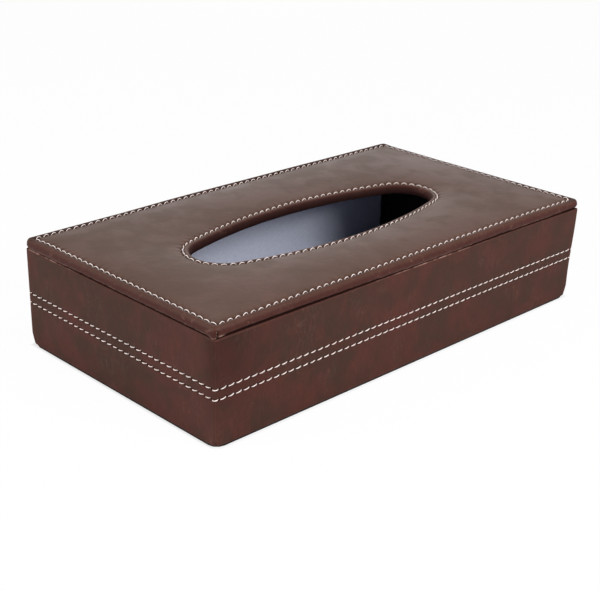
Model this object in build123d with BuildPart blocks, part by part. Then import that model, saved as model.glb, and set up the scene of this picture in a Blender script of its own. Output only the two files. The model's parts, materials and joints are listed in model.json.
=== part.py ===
from build123d import *
from math import atan2, degrees
import os

os.makedirs("parts", exist_ok=True)

# A flat box for a pack of paper tissues: fibreboard panels wrapped in leather, with a
# padded lid that has an oval opening and swings on a leather strip along the back.
# Millimetres. The origin is the middle of the underside, +X runs along the front,
# +Y points to the hinge side and +Z is up.

# Overall size, lid closed
box_length = 250.0
box_width = 139.0
box_height = 56.0

# Sheet and board thicknesses
leather = 0.8
wall_board = 4.0
base_board_thickness = 3.0
base_cover_thickness = 0.6
lid_board_thickness = 2.5
padding_thickness = 0.7
lining = 0.8
lid_lining_thickness = 0.6

# Edges of the wrapped body
corner_radius = 2.0
bottom_radius = 1.1
rim_radius = 0.6
rim_turn_in = 8.0
base_turn_under = 14.0

# Lid
seam_gap = 0.5
lid_overhang = 0.3
lid_corner_radius = 2.6
lid_top_radius = 2.3
lid_bottom_radius = 1.0
lid_board_radius = 1.0
lid_turn_under = 14.0
padding_inset = 1.2
padding_bevel = 0.4

# Oval opening in the lid: four tangent arcs, two small ones at the ends
opening_x = -2.5
opening_y = -4.2
opening_half_length = 77.3
opening_half_width = 24.8
opening_end_radius = 15.4
opening_roll_radius = 1.6
opening_lip_bevel = 0.4
opening_turn_under = 9.0

# Sewn seams: the thread lies in a shallow groove
seam_width = 0.9
seam_depth = 0.3
side_seam_heights = (23.1, 27.9)
lid_seam_inset = 3.5
opening_seam_margin = 3.6

# Leather hinge along the back
hinge_length = 230.0
hinge_thickness = 0.9
hinge_drop = 14.0
hinge_corner_radius = 2.0

# Closing magnets, let into the front edge of the box and of the lid
magnet_length = 12.0
magnet_width = 2.4
magnet_thickness = 1.6
magnet_spacing = 150.0

# Clearances
glue_line = 0.05
sheet_clearance = 0.2
base_cover_inset = 0.5

# Heights that follow from the sizes above
lid_thickness = 2 * leather + lid_board_thickness + padding_thickness
lid_bottom = box_height - lid_thickness
rim_height = lid_bottom - seam_gap
board_top = rim_height - leather
base_bottom = base_cover_thickness + leather
base_top = base_bottom + base_board_thickness
turn_in_bottom = rim_height - rim_turn_in
lid_board_bottom = lid_bottom + leather
padding_bottom = lid_board_bottom + lid_board_thickness

# Plan sizes that follow from the sizes above
frame_length = box_length - 2 * leather
frame_width = box_width - 2 * leather
inner_length = frame_length - 2 * wall_board
inner_width = frame_width - 2 * wall_board
lid_length = box_length + 2 * lid_overhang
lid_width = box_width + lid_overhang
lid_y = -lid_overhang / 2
lid_board_length = lid_length - 2 * leather
lid_board_width = lid_width - 2 * leather
magnet_y = -(frame_width - wall_board) / 2


def draw_oval(margin, mode=Mode.ADD):
    """Add the opening's outline, widened by a margin, to the open sketch."""
    end_x = opening_half_length - opening_end_radius
    rise = opening_half_width - opening_end_radius
    side_radius = (end_x**2 + opening_half_width**2 - opening_end_radius**2) / (2 * rise)
    side_y = side_radius - opening_half_width
    turn = degrees(atan2(side_y, end_x))
    end_reach = opening_end_radius + margin
    side_reach = side_radius + margin
    with BuildLine(mode=Mode.PRIVATE) as outline:
        CenterArc((opening_x + end_x, opening_y), end_reach, -turn, 2 * turn)
        CenterArc((opening_x, opening_y - side_y), side_reach, turn, 180 - 2 * turn)
        CenterArc((opening_x - end_x, opening_y), end_reach, 180 - turn, 2 * turn)
        CenterArc((opening_x, opening_y + side_y), side_reach, 180 + turn, 180 - 2 * turn)
    make_face(outline.edges(), mode=mode)


def draw_lid_rectangle(inset, mode=Mode.ADD):
    """Add a rectangle, inset from the lid's edge, to the open sketch."""
    with Locations((0, lid_y)):
        Rectangle(lid_length - 2 * inset, lid_width - 2 * inset, mode=mode)


def draw_magnets(margin):
    """Add the outline of the two magnets, widened by a margin, to the open sketch."""
    with Locations((-magnet_spacing / 2, magnet_y), (magnet_spacing / 2, magnet_y)):
        Rectangle(magnet_length + 2 * margin, magnet_width + 2 * margin)


# ---------------------------------------------------------------- box boards

# Base: the four walls stand on its edge
with BuildPart() as base_board:
    with BuildSketch(Plane.XY.offset(base_bottom)):
        RectangleRounded(frame_length, frame_width, corner_radius - leather)
    extrude(amount=base_board_thickness)
    fillet(base_board.edges().group_by(Axis.Z)[0], bottom_radius - leather)

base_board.part.label = "base_board"
export_step(base_board.part, "parts/base_board.step")

# Front wall, with a slot for each magnet in its top edge
with BuildPart() as front_board:
    with BuildSketch(Plane.XY.offset(base_top)):
        with Locations((0, -(frame_width - wall_board) / 2)):
            Rectangle(frame_length, wall_board)
    extrude(amount=board_top - base_top)
    fillet(front_board.edges().filter_by(Axis.Z).group_by(Axis.Y)[0], corner_radius - leather)
    with BuildSketch(Plane.XY.offset(board_top)):
        draw_magnets(glue_line)
    extrude(amount=-magnet_thickness, mode=Mode.SUBTRACT)

front_board.part.label = "front_board"
export_step(front_board.part, "parts/front_board.step")

# Back wall
with BuildPart() as back_board:
    with BuildSketch(Plane.XY.offset(base_top)):
        with Locations((0, (frame_width - wall_board) / 2)):
            Rectangle(frame_length, wall_board)
    extrude(amount=board_top - base_top)
    fillet(back_board.edges().filter_by(Axis.Z).group_by(Axis.Y)[-1], corner_radius - leather)

back_board.part.label = "back_board"
export_step(back_board.part, "parts/back_board.step")

# End walls, butted between the front and the back
with BuildPart() as left_board:
    with BuildSketch(Plane.XY.offset(base_top)):
        with Locations((-(frame_length - wall_board) / 2, 0)):
            Rectangle(wall_board, inner_width)
    extrude(amount=board_top - base_top)

left_board.part.label = "left_board"
export_step(left_board.part, "parts/left_board.step")

with BuildPart() as right_board:
    with BuildSketch(Plane.XY.offset(base_top)):
        with Locations(((frame_length - wall_board) / 2, 0)):
            Rectangle(wall_board, inner_width)
    extrude(amount=board_top - base_top)

right_board.part.label = "right_board"
export_step(right_board.part, "parts/right_board.step")

# ---------------------------------------------------------------- box covering

# Leather round the outside, turned in over the rim and turned under at the base
with BuildPart() as side_wrap:
    with BuildSketch(Plane.XY.offset(base_cover_thickness)):
        RectangleRounded(box_length, box_width, corner_radius)
    extrude(amount=rim_height - base_cover_thickness)
    fillet(side_wrap.edges().group_by(Axis.Z)[0], bottom_radius)
    fillet(side_wrap.edges().group_by(Axis.Z)[-1], rim_radius)
    with BuildSketch(Plane.XY.offset(base_top)):
        Rectangle(inner_length - 2 * leather, inner_width - 2 * leather)
    extrude(amount=rim_height - base_top, mode=Mode.SUBTRACT)
    with BuildSketch(Plane.XY.offset(base_top)):
        Rectangle(inner_length, inner_width)
    extrude(amount=turn_in_bottom - base_top, mode=Mode.SUBTRACT)
    with BuildSketch(Plane.XY.offset(base_cover_thickness)):
        Rectangle(frame_length - 2 * base_turn_under, frame_width - 2 * base_turn_under)
    extrude(amount=leather, mode=Mode.SUBTRACT)
    add(base_board.part, mode=Mode.SUBTRACT)
    with BuildSketch(Plane.XY.offset(base_top)):
        RectangleRounded(frame_length, frame_width, corner_radius - leather)
        Rectangle(inner_length, inner_width, mode=Mode.SUBTRACT)
    extrude(amount=board_top - base_top, mode=Mode.SUBTRACT)
    for seam_height in side_seam_heights:
        with BuildSketch(Plane.XY.offset(seam_height - seam_width / 2)):
            Rectangle(box_length + 2 * seam_width, box_width + 2 * seam_width)
            RectangleRounded(
                box_length - 2 * seam_depth,
                box_width - 2 * seam_depth,
                corner_radius - seam_depth,
                mode=Mode.SUBTRACT,
            )
        extrude(amount=seam_width, mode=Mode.SUBTRACT)

side_wrap.part.label = "side_wrap"
export_step(side_wrap.part, "parts/side_wrap.step")

# Non-slip sheet under the base, pressed up to the board inside the turned leather
with BuildPart() as base_cover:
    with BuildSketch(Plane.XY):
        RectangleRounded(
            box_length - 2 * base_cover_inset,
            box_width - 2 * base_cover_inset,
            corner_radius,
        )
    extrude(amount=base_cover_thickness)
    with BuildSketch(Plane.XY.offset(base_cover_thickness)):
        Rectangle(
            frame_length - 2 * base_turn_under - 2 * sheet_clearance,
            frame_width - 2 * base_turn_under - 2 * sheet_clearance,
        )
    extrude(amount=leather)

base_cover.part.label = "base_cover"
export_step(base_cover.part, "parts/base_cover.step")

# ---------------------------------------------------------------- box lining

with BuildPart() as floor_lining:
    with BuildSketch(Plane.XY.offset(base_top)):
        Rectangle(inner_length, inner_width)
    extrude(amount=lining)

floor_lining.part.label = "floor_lining"
export_step(floor_lining.part, "parts/floor_lining.step")

lining_bottom = base_top + lining
lining_height = turn_in_bottom - sheet_clearance - lining_bottom

with BuildPart() as front_lining:
    with BuildSketch(Plane.XY.offset(lining_bottom)):
        with Locations((0, -(inner_width - lining) / 2)):
            Rectangle(inner_length, lining)
    extrude(amount=lining_height)

front_lining.part.label = "front_lining"
export_step(front_lining.part, "parts/front_lining.step")

with BuildPart() as back_lining:
    with BuildSketch(Plane.XY.offset(lining_bottom)):
        with Locations((0, (inner_width - lining) / 2)):
            Rectangle(inner_length, lining)
    extrude(amount=lining_height)

back_lining.part.label = "back_lining"
export_step(back_lining.part, "parts/back_lining.step")

with BuildPart() as left_lining:
    with BuildSketch(Plane.XY.offset(lining_bottom)):
        with Locations((-(inner_length - lining) / 2, 0)):
            Rectangle(lining, inner_width - 2 * lining)
    extrude(amount=lining_height)

left_lining.part.label = "left_lining"
export_step(left_lining.part, "parts/left_lining.step")

with BuildPart() as right_lining:
    with BuildSketch(Plane.XY.offset(lining_bottom)):
        with Locations(((inner_length - lining) / 2, 0)):
            Rectangle(lining, inner_width - 2 * lining)
    extrude(amount=lining_height)

right_lining.part.label = "right_lining"
export_step(right_lining.part, "parts/right_lining.step")

# ---------------------------------------------------------------- lid

# Board of the lid, with the oval cut out and a slot for each magnet underneath
with BuildPart() as lid_board:
    with BuildSketch(Plane.XY.offset(lid_board_bottom)):
        with Locations((0, lid_y)):
            RectangleRounded(lid_board_length, lid_board_width, lid_corner_radius - leather)
    extrude(amount=lid_board_thickness)
    fillet(lid_board.edges().group_by(Axis.Z)[-1], lid_board_radius)
    with BuildSketch(Plane.XY.offset(lid_board_bottom)):
        draw_oval(leather)
    extrude(amount=lid_board_thickness, mode=Mode.SUBTRACT)
    with BuildSketch(Plane.XY.offset(lid_board_bottom)):
        draw_magnets(glue_line)
    extrude(amount=magnet_thickness, mode=Mode.SUBTRACT)

lid_board.part.label = "lid_board"
export_step(lid_board.part, "parts/lid_board.step")

# Thin padding between the board and the leather
with BuildPart() as lid_padding:
    with BuildSketch(Plane.XY.offset(padding_bottom)):
        draw_lid_rectangle(leather + padding_inset)
        draw_oval(leather + padding_inset, mode=Mode.SUBTRACT)
    extrude(amount=padding_thickness)
    chamfer(lid_padding.edges().group_by(Axis.Z)[-1], padding_bevel)

lid_padding.part.label = "lid_padding"
export_step(lid_padding.part, "parts/lid_padding.step")

# Leather of the lid: over the padding, round the edges and through the oval
with BuildPart() as lid_leather:
    with BuildSketch(Plane.XY.offset(lid_bottom)):
        with Locations((0, lid_y)):
            RectangleRounded(lid_length, lid_width, lid_corner_radius)
    extrude(amount=lid_thickness)
    fillet(lid_leather.edges().group_by(Axis.Z)[-1], lid_top_radius)
    fillet(lid_leather.edges().group_by(Axis.Z)[0], lid_bottom_radius)
    with BuildSketch(Plane.XY.offset(lid_bottom)):
        draw_oval(0)
    extrude(amount=lid_thickness, mode=Mode.SUBTRACT)
    top_face = lid_leather.faces().sort_by(Axis.Z)[-1]
    fillet(top_face.inner_wires()[0].edges(), opening_roll_radius)
    under_face = lid_leather.faces().sort_by(Axis.Z)[0]
    chamfer(under_face.inner_wires()[0].edges(), opening_lip_bevel)
    with BuildSketch(Plane.XY.offset(box_height)):
        draw_lid_rectangle(lid_seam_inset - seam_width / 2)
        draw_lid_rectangle(lid_seam_inset + seam_width / 2, mode=Mode.SUBTRACT)
        draw_oval(opening_seam_margin + seam_width / 2)
        draw_oval(opening_seam_margin - seam_width / 2, mode=Mode.SUBTRACT)
    extrude(amount=-seam_depth, mode=Mode.SUBTRACT)
    with BuildSketch(Plane.XY.offset(lid_bottom)):
        draw_lid_rectangle(leather + lid_turn_under)
        draw_oval(leather + opening_turn_under, mode=Mode.SUBTRACT)
    extrude(amount=leather, mode=Mode.SUBTRACT)
    with BuildSketch(Plane.XY.offset(lid_board_bottom)):
        draw_magnets(glue_line)
    extrude(amount=magnet_thickness, mode=Mode.SUBTRACT)
    add(lid_board.part, mode=Mode.SUBTRACT)
    add(lid_padding.part, mode=Mode.SUBTRACT)

lid_leather.part.label = "lid_leather"
export_step(lid_leather.part, "parts/lid_leather.step")

# Lining glued to the underside of the lid, inside the turned leather
with BuildPart() as lid_lining:
    with BuildSketch(Plane.XY.offset(lid_board_bottom - lid_lining_thickness)):
        draw_lid_rectangle(leather + lid_turn_under + sheet_clearance)
        draw_oval(leather + opening_turn_under + sheet_clearance, mode=Mode.SUBTRACT)
    extrude(amount=lid_lining_thickness)

lid_lining.part.label = "lid_lining"
export_step(lid_lining.part, "parts/lid_lining.step")

# ---------------------------------------------------------------- hinge and magnets

# Leather strip on the back wall and on the back edge of the lid
hinge_bottom = rim_height - hinge_drop
hinge_top = box_height - lid_top_radius
with BuildPart() as hinge_strip:
    with BuildSketch(Plane.XZ.offset(-box_width / 2)):
        with Locations((0, (hinge_bottom + hinge_top) / 2)):
            Rectangle(hinge_length, hinge_top - hinge_bottom)
    extrude(amount=-hinge_thickness)
    fillet(hinge_strip.edges().filter_by(Axis.Y).group_by(Axis.Z)[0], hinge_corner_radius)

hinge_strip.part.label = "hinge_strip"
export_step(hinge_strip.part, "parts/hinge_strip.step")

# Magnets in the box, flush with the top edge of the front board
with BuildPart() as box_magnets:
    with BuildSketch(Plane.XY.offset(board_top)):
        draw_magnets(0)
    extrude(amount=-magnet_thickness)

box_magnets.part.label = "box_magnets"
export_step(box_magnets.part, "parts/box_magnets.step")

# Magnets in the lid, flush with the underside of its board
with BuildPart() as lid_magnets:
    with BuildSketch(Plane.XY.offset(lid_board_bottom)):
        draw_magnets(0)
    extrude(amount=magnet_thickness)

lid_magnets.part.label = "lid_magnets"
export_step(lid_magnets.part, "parts/lid_magnets.step")
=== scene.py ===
import json
import math

import bpy
import numpy as np
from mathutils import Matrix, Vector

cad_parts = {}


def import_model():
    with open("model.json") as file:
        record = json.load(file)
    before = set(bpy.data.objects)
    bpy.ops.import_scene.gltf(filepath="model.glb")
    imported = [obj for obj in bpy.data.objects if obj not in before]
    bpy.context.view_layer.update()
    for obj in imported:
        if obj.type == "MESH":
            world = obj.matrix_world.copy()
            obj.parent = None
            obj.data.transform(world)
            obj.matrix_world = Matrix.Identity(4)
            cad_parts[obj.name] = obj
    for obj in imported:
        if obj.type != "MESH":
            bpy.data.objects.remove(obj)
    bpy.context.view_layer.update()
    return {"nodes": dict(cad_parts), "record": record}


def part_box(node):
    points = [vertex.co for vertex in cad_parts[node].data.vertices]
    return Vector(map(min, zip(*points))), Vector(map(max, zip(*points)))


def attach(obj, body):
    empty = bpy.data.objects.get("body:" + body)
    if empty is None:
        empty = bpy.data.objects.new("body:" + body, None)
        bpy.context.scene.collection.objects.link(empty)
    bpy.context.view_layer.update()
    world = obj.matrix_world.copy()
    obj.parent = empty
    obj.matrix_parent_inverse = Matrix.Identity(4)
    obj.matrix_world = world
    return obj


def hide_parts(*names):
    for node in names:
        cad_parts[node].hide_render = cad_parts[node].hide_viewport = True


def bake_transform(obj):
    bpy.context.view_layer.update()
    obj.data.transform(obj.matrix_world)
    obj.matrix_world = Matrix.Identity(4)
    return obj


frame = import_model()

MM = 0.001

# ---- sizes

BOX_LOW, BOX_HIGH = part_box("side_wrap")
FELT_LOW, FELT_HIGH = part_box("base_cover")
LID_LOW, LID_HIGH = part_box("lid_leather")
BOARD_LOW, BOARD_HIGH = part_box("lid_board")
FOAM_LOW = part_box("lid_padding")[0]
STRIP_LOW, STRIP_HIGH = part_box("hinge_strip")
HINGE_Z = 51.0 * MM

LEATHER = 0.8 * MM

# Lid
LID_CORNER_RADIUS = 2.4 * MM
LID_TURN_UNDER = 14.0 * MM
EDGE_DEPTH = 2.3 * MM  # how far the rolled edge reaches in, above its widest line
FAR_EDGE_DEPTH = 1.2 * MM  # the same along the back and the right end, where it is folded tighter
UNDER_DEPTH = 1.5 * MM  # and below its widest line
EDGE_RISE = 1.6 * MM  # height of the widest line above the lid's underside
ROLL_FULLNESS = 0.9  # 1 is a round roll, and less is a fuller one
CREST = 0.15 * MM  # how far the rolled edge stands above the top
FAR_CREST_DROP = 0.1 * MM
BACK_EDGE_RISE = 0.3 * MM
TOP_WAVE = 0.1 * MM
EDGE_RIPPLE = 0.07 * MM
CROWN = 1.3 * MM  # how far the padding lifts the top between its seams
FAR_DIP = 0.38 * MM  # how far the top drops along the back and the right end
BACK_SWELL = 0.45 * MM  # how far it swells along the middle of the back
LID_TOP = LID_HIGH.z - 0.12 * MM
VALLEY_FLOOR = LID_HIGH.z - LEATHER - 0.5 * MM

# The lid's near corner, and the lip of leather under its edge
TAB_DROP = 1.1 * MM
CREASE_DEPTH = 0.9 * MM
OTHER_CORNER_DROP = 0.2 * MM
LIP_STANDS_OUT = 0.12 * MM
LIP_GROOVE = 0.16 * MM

# The opening: four tangent arcs, as on the CAD lid
OPENING_CENTRE = np.array((-2.5, -4.2)) * MM
OPENING_HALF_LENGTH = 77.3 * MM
OPENING_HALF_WIDTH = 24.8 * MM
OPENING_END_RADIUS = 15.4 * MM
OPENING_ROLL = 2.4 * MM
OPENING_TURN_UNDER = 9.0 * MM

# Box
BOX_CORNER_RADIUS = 1.0 * MM
BOX_BOTTOM_RADIUS = 1.1 * MM
BOX_RIM_RADIUS = 0.6 * MM
BASE_CORNER_ROUNDING = 2.4 * MM  # how much rounder the corners are at the base
BASE_ROUNDING_HEIGHT = 7.0 * MM
RIM_TURN_IN = 8.0 * MM
BASE_TURN_UNDER = 14.0 * MM
WALL_BOARD = 4.0 * MM
SIDE_WAVE = 0.12 * MM
RIM_RISE = 0.18 * MM
RIM_RIPPLE = 0.05 * MM
CORNER_FLARE = 1.2 * MM  # how far the front right corner stands out
FLARE_REACH = 34.0 * MM

# Felt
FELT_THICKNESS = 0.6 * MM
FELT_CORNER = 5.0 * MM

# Hinge strip
STRIP_CORNER = 2.0 * MM
STRIP_SKIVE = 1.6 * MM
STRIP_EDGE = 0.35 * MM
STRIP_CREASE = 0.18 * MM
STRIP_WAVE = 0.03 * MM

# Seams
STITCH_PITCH = 4.3 * MM
LID_SEAM_INSET = 3.5 * MM
LID_SEAM_CORNER = 1.2 * MM
OPENING_SEAM_MARGIN = 3.6 * MM
SIDE_SEAM_HEIGHTS = (23.1 * MM, 27.9 * MM)
VALLEY_DEPTH = 0.42 * MM
HOLE_DEPTH = 0.34 * MM
PUCKER_DEPTH = 0.22 * MM
SIDE_VALLEY_DEPTH = 0.15 * MM
SIDE_HOLE_DEPTH = 0.3 * MM
HOLE_SLANT = 0.3  # the needle holes' slant across the lid's seams, and on the sides
SIDE_HOLE_SLANT = -0.25
LID_THREAD_DEPTH = 0.4 * MM  # where the thread lies under the leather's surface
SIDE_THREAD_DEPTH = 0.15 * MM

# Mesh density
SAMPLES_PER_STITCH = 8
CORNER_POINTS = 12

# How far the lid's lower edge stands above its place in mm, along the front and down the left side
FRONT_LIFT = (
    (-123, -0.25), (-120.5, -0.2), (-118.5, 0.35), (-110, 0.55), (-75, 0.5), (-40, 0.2), (-5, -0.12),
    (28, -0.08), (45, 0.12), (68, 0.2), (71, -0.06), (100, 0.0), (113, 0.22), (125, 0.3),
)
LEFT_LIFT = ((-66, -0.05), (-40, 0.05), (-10, -0.02), (10, 0.05), (28, 0.06), (38, -0.2), (66, -0.22))


# ---- outlines

def counts_for(low, high, radius):
    """Points on half a short side, on a corner and on half a long side, in step with the stitches."""
    step = STITCH_PITCH / SAMPLES_PER_STITCH
    half_short = round(((high.y - low.y) / 2 - radius) / step)
    half_long = round(((high.x - low.x) / 2 - radius) / step)
    return half_short, CORNER_POINTS, half_long


def four_quarters(quarter, end):
    """A whole ring from its first quarter, mirrored in X and in Y."""
    full = np.concatenate([quarter, [end]])
    mirrored = full[::-1]
    return np.concatenate([part[:-1] for part in (full, mirrored * (-1, 1), -full, mirrored * (1, -1))])


def rounded_ring(low, high, inset, radius, counts):
    """Ring parallel to the edge of a rectangle, anticlockwise from the middle of its right side.
    Rings with the same counts match point for point."""
    margin = Vector((inset, inset, 0))
    low, high = low + margin, high - margin
    half_short, corner, half_long = counts
    ax, ay = (high.x - low.x) / 2, (high.y - low.y) / 2
    up = np.linspace(0, ay - radius, half_short, endpoint=False)
    turn = np.linspace(0, math.pi / 2, corner, endpoint=False)
    back = np.linspace(ax - radius, 0, half_long, endpoint=False)
    quarter = np.concatenate([
        np.stack([np.full(half_short, ax), up], 1),
        np.stack([ax - radius + radius * np.cos(turn), ay - radius + radius * np.sin(turn)], 1),
        np.stack([back, np.full(half_long, ay)], 1),
    ])
    return four_quarters(quarter, (0, ay)) + ((low.x + high.x) / 2, (low.y + high.y) / 2)


def opening_arcs():
    """Middle of the right end arc, radius of the side arcs, their middle's distance from the long axis,
    and the angle at which an end arc meets a side arc."""
    end_x = OPENING_HALF_LENGTH - OPENING_END_RADIUS
    rise = OPENING_HALF_WIDTH - OPENING_END_RADIUS
    side = (end_x**2 + OPENING_HALF_WIDTH**2 - OPENING_END_RADIUS**2) / (2 * rise)
    side_y = side - OPENING_HALF_WIDTH
    return end_x, side, side_y, math.atan2(side_y, end_x)


def from_opening(flat):
    """Distance of points from the opening's edge."""
    end_x, side, side_y, turn = opening_arcs()
    x, y = np.abs(flat - OPENING_CENTRE).T
    on_end = np.arctan2(y, x - end_x) < turn
    return np.where(on_end, np.hypot(x - end_x, y) - OPENING_END_RADIUS, np.hypot(x, y + side_y) - side)


def oval(margin, counts):
    """Ring of points round the opening, widened by a margin, in step with rounded_ring."""
    end_x, side, side_y, turn = opening_arcs()
    end_reach, side_reach = OPENING_END_RADIUS + margin, side + margin
    end_arc = end_reach * turn
    s = np.linspace(0, end_arc + side_reach * (math.pi / 2 - turn), sum(counts), endpoint=False)
    on_end = s < end_arc
    angle = np.where(on_end, s / end_reach, turn + (s - end_arc) / side_reach)
    reach = np.where(on_end, end_reach, side_reach)
    x = np.where(on_end, end_x, 0.0) + reach * np.cos(angle)
    y = np.where(on_end, 0.0, -side_y) + reach * np.sin(angle)
    return four_quarters(np.stack([x, y], 1), (0, OPENING_HALF_WIDTH + margin)) + OPENING_CENTRE


def outward(ring):
    """Unit normals of a flat anticlockwise ring."""
    tangent = np.roll(ring, -1, 0) - np.roll(ring, 1, 0)
    tangent /= np.linalg.norm(tangent, axis=1)[:, None]
    return np.column_stack([tangent[:, 1], -tangent[:, 0]])


def lengths_along(ring):
    """Distance along a closed ring at each of its points, and its whole length."""
    steps = np.linalg.norm(np.roll(ring, -1, 0) - ring, axis=1)
    return np.concatenate([[0], np.cumsum(steps)[:-1]]), steps.sum()


def stitches_on(ring):
    """Number of stitches on a ring, the same on each quarter."""
    return 4 * round(lengths_along(ring)[1] / 4 / STITCH_PITCH)


def from_hole(ring):
    """Distance along the seam from the nearest needle hole to each point of a ring."""
    s, whole = lengths_along(ring)
    pitch = whole / stitches_on(ring)
    return (s / pitch % 1 - 0.5) * pitch


def from_corner(ring, x, y):
    """Distance along a ring from the point nearest to a corner."""
    s, whole = lengths_along(ring)
    start = s[np.argmin(np.hypot(ring[:, 0] - x, ring[:, 1] - y))]
    return (s - start + whole / 2) % whole - whole / 2


def near_corners(ring, corners, width):
    """1 at the corners of a ring, falling off over a width."""
    return sum(bell(from_corner(ring, x, y), width) for x, y in corners)


def arc(start, end, count):
    """Steps of a turn: each angle in degrees, with its sine and cosine."""
    for angle in np.linspace(start, end, count):
        yield angle, math.sin(math.radians(angle)), math.cos(math.radians(angle))


# ---- leather shaping

def bell(x, width):
    """1 at x = 0, falling off over a width."""
    return np.exp(-((x / width) ** 2))


def ease(x, start, end):
    """0 before the start and 1 after the end, with a smooth rise between."""
    t = np.clip((x - start) / (end - start), 0, 1)
    return t * t * (3 - 2 * t)


def slow_waves(x, y, z=0.0):
    """Gentle unevenness of hand-laid leather, between about -1 and 1."""
    return (
        0.40 * np.sin(61 * x + 37 * y + 23 * z + 1.3)
        + 0.30 * np.sin(-83 * x + 71 * y + 47 * z + 0.4)
        + 0.18 * np.sin(139 * x + 163 * y - 91 * z + 2.2)
        + 0.12 * np.sin(307 * x - 211 * y + 173 * z + 4.1)
    )


def small_waves(s):
    """Small irregular ripple along an edge, between about -1 and 1."""
    return 0.45 * np.sin(413 * s + 0.7) + 0.3 * np.sin(977 * s + 2.9) + 0.25 * np.sin(1733 * s + 5.1)


def seam_relief(along, across):
    """Height of leather pulled down by stitches. across grows away from the edge that is sewn down."""
    valley = VALLEY_DEPTH * bell(across, np.where(across > 0, 1.1 * MM, 0.75 * MM))
    hole = HOLE_DEPTH * bell(along + HOLE_SLANT * across, 0.62 * MM) * bell(across - 0.2 * MM, 0.7 * MM)
    pucker = PUCKER_DEPTH * bell(along + 0.4 * across, 0.9 * MM) * bell(across - 1.3 * MM, 1.2 * MM)
    return -(valley + hole + pucker)


def seam_shade(along, across):
    """Painted shade: how dark the leather is in the needle holes and the valley of a seam, from 0 to 1."""
    hole = bell(along + HOLE_SLANT * across, 0.75 * MM) * bell(across - 0.1 * MM, 0.95 * MM)
    return np.clip(hole + 0.35 * bell(across, 0.6 * MM), 0, 1)


def hand_made(points, share=1.0):
    """The box isn't quite square: its front right corner stands out a little towards the top. The share
    is 0 for leather that lies against the boards."""
    x, y, z = points[:, 0], points[:, 1], points[:, 2]
    far = np.hypot(x - BOX_HIGH.x, y - BOX_LOW.y)
    height = ease(z, 10 * MM, 52 * MM) - 0.2 * ease(z, 50.9 * MM, 51.3 * MM)
    amount = CORNER_FLARE * bell(far, FLARE_REACH) * height
    points[:, 0] += amount * share
    points[:, 1] -= amount * share
    return points


def level(flat, z):
    """A flat ring lifted to one height, or to a height for each of its points."""
    return np.column_stack([flat, np.broadcast_to(z, len(flat))])


def quads(*corners):
    """Faces from four grids of point numbers."""
    return np.stack(corners, -1).reshape(-1, 4).tolist()


def between(a, b):
    """Faces between two rows, or two stacks of rows, of point numbers."""
    return quads(a[..., :-1], a[..., 1:], b[..., 1:], b[..., :-1])


def new_mesh(name, points, faces, edges=()):
    mesh = bpy.data.meshes.new(name)
    mesh.from_pydata(np.asarray(points).tolist(), edges, faces)
    return mesh


def put(name, data, *materials):
    """A new object in the scene, for a mesh with its materials, a lamp or a camera."""
    for material in materials:
        data.materials.append(material)
    made = bpy.data.objects.new(name, data)
    bpy.context.scene.collection.objects.link(made)
    return made


class Skin:
    """Rows of rings that are joined, the last to the first, into one closed shell."""

    def __init__(self, counts):
        self.ring = 4 * sum(counts)
        self.rows = []
        self.shares = []
        self.marks = {"wear_and_highlight": [], "seam": []}

    def add(self, flat, z, wear_and_highlight=0.0, seam=0.0, share=1.0):
        """One more row. wear_and_highlight and seam are marks from 0 to 1 that the leather's colour follows,
        and share is for hand_made. seam is painted shade, and wear_and_highlight above 1 is partly a painted
        highlight."""
        self.rows.append(level(flat, z))
        self.shares.append(np.full(self.ring, share))
        for name, mark in (("wear_and_highlight", wear_and_highlight), ("seam", seam)):
            self.marks[name].append(np.broadcast_to(mark, self.ring))

    def build(self, name, body, material, replaced):
        """The shell as a piece that stands for a CAD node."""
        points = hand_made(np.concatenate(self.rows), np.concatenate(self.shares))
        at = np.arange(len(points)).reshape(len(self.rows), self.ring)
        right = np.roll(at, -1, 1)
        mesh = new_mesh(name, points, quads(at, right, np.roll(right, -1, 0), np.roll(at, -1, 0)))
        mesh.shade_smooth()
        for mark, values in self.marks.items():
            layer = mesh.attributes.new(mark, "FLOAT", "POINT")
            layer.data.foreach_set("value", np.concatenate(values).astype(np.float32))
        piece = put(name, mesh, material)
        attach(piece, body)
        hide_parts(replaced)
        return piece


# ---- lid

SEAM_MARGIN = Vector((LID_SEAM_INSET, LID_SEAM_INSET, 0))
LID_COUNTS = counts_for(LID_LOW + SEAM_MARGIN, LID_HIGH - SEAM_MARGIN, LID_SEAM_CORNER)


def lid_ring(inset):
    """Ring parallel to the lid's edge."""
    share = min(inset / LID_SEAM_INSET, 1)
    radius = LID_CORNER_RADIUS + (LID_SEAM_CORNER - LID_CORNER_RADIUS) * share
    return rounded_ring(LID_LOW, LID_HIGH, inset, radius, LID_COUNTS)


def lid_oval(margin):
    return oval(margin, LID_COUNTS)


def crown(flat):
    """How far the padding lifts the top between the two seams."""
    least = 0.01 * MM
    across_x = np.maximum((LID_HIGH.x - LID_LOW.x) / 2 - np.abs(flat[:, 0]) - LID_SEAM_INSET, 0)
    across_y = np.maximum((LID_HIGH.y - LID_LOW.y) / 2 - np.abs(flat[:, 1]) - LID_SEAM_INSET, 0)
    outer = across_x * across_y / np.maximum(np.hypot(across_x, across_y), least)
    inner = np.maximum(from_opening(flat) - OPENING_SEAM_MARGIN, 0)
    share = inner / np.maximum(inner + outer, least)
    return CROWN * 4 * share * (1 - share)


def lid_surface(flat):
    """Height of the lid's top, without the seams."""
    x, y = flat[:, 0], flat[:, 1]
    swell = BACK_SWELL * ease(y, 20 * MM, 62 * MM) * bell(x + 20 * MM, 85 * MM)
    dip = FAR_DIP * np.maximum(ease(y, 56 * MM, 65 * MM), ease(x, 92 * MM, 118 * MM))
    return LID_TOP + TOP_WAVE * slow_waves(x, y) + swell - dip + crown(flat)


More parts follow.
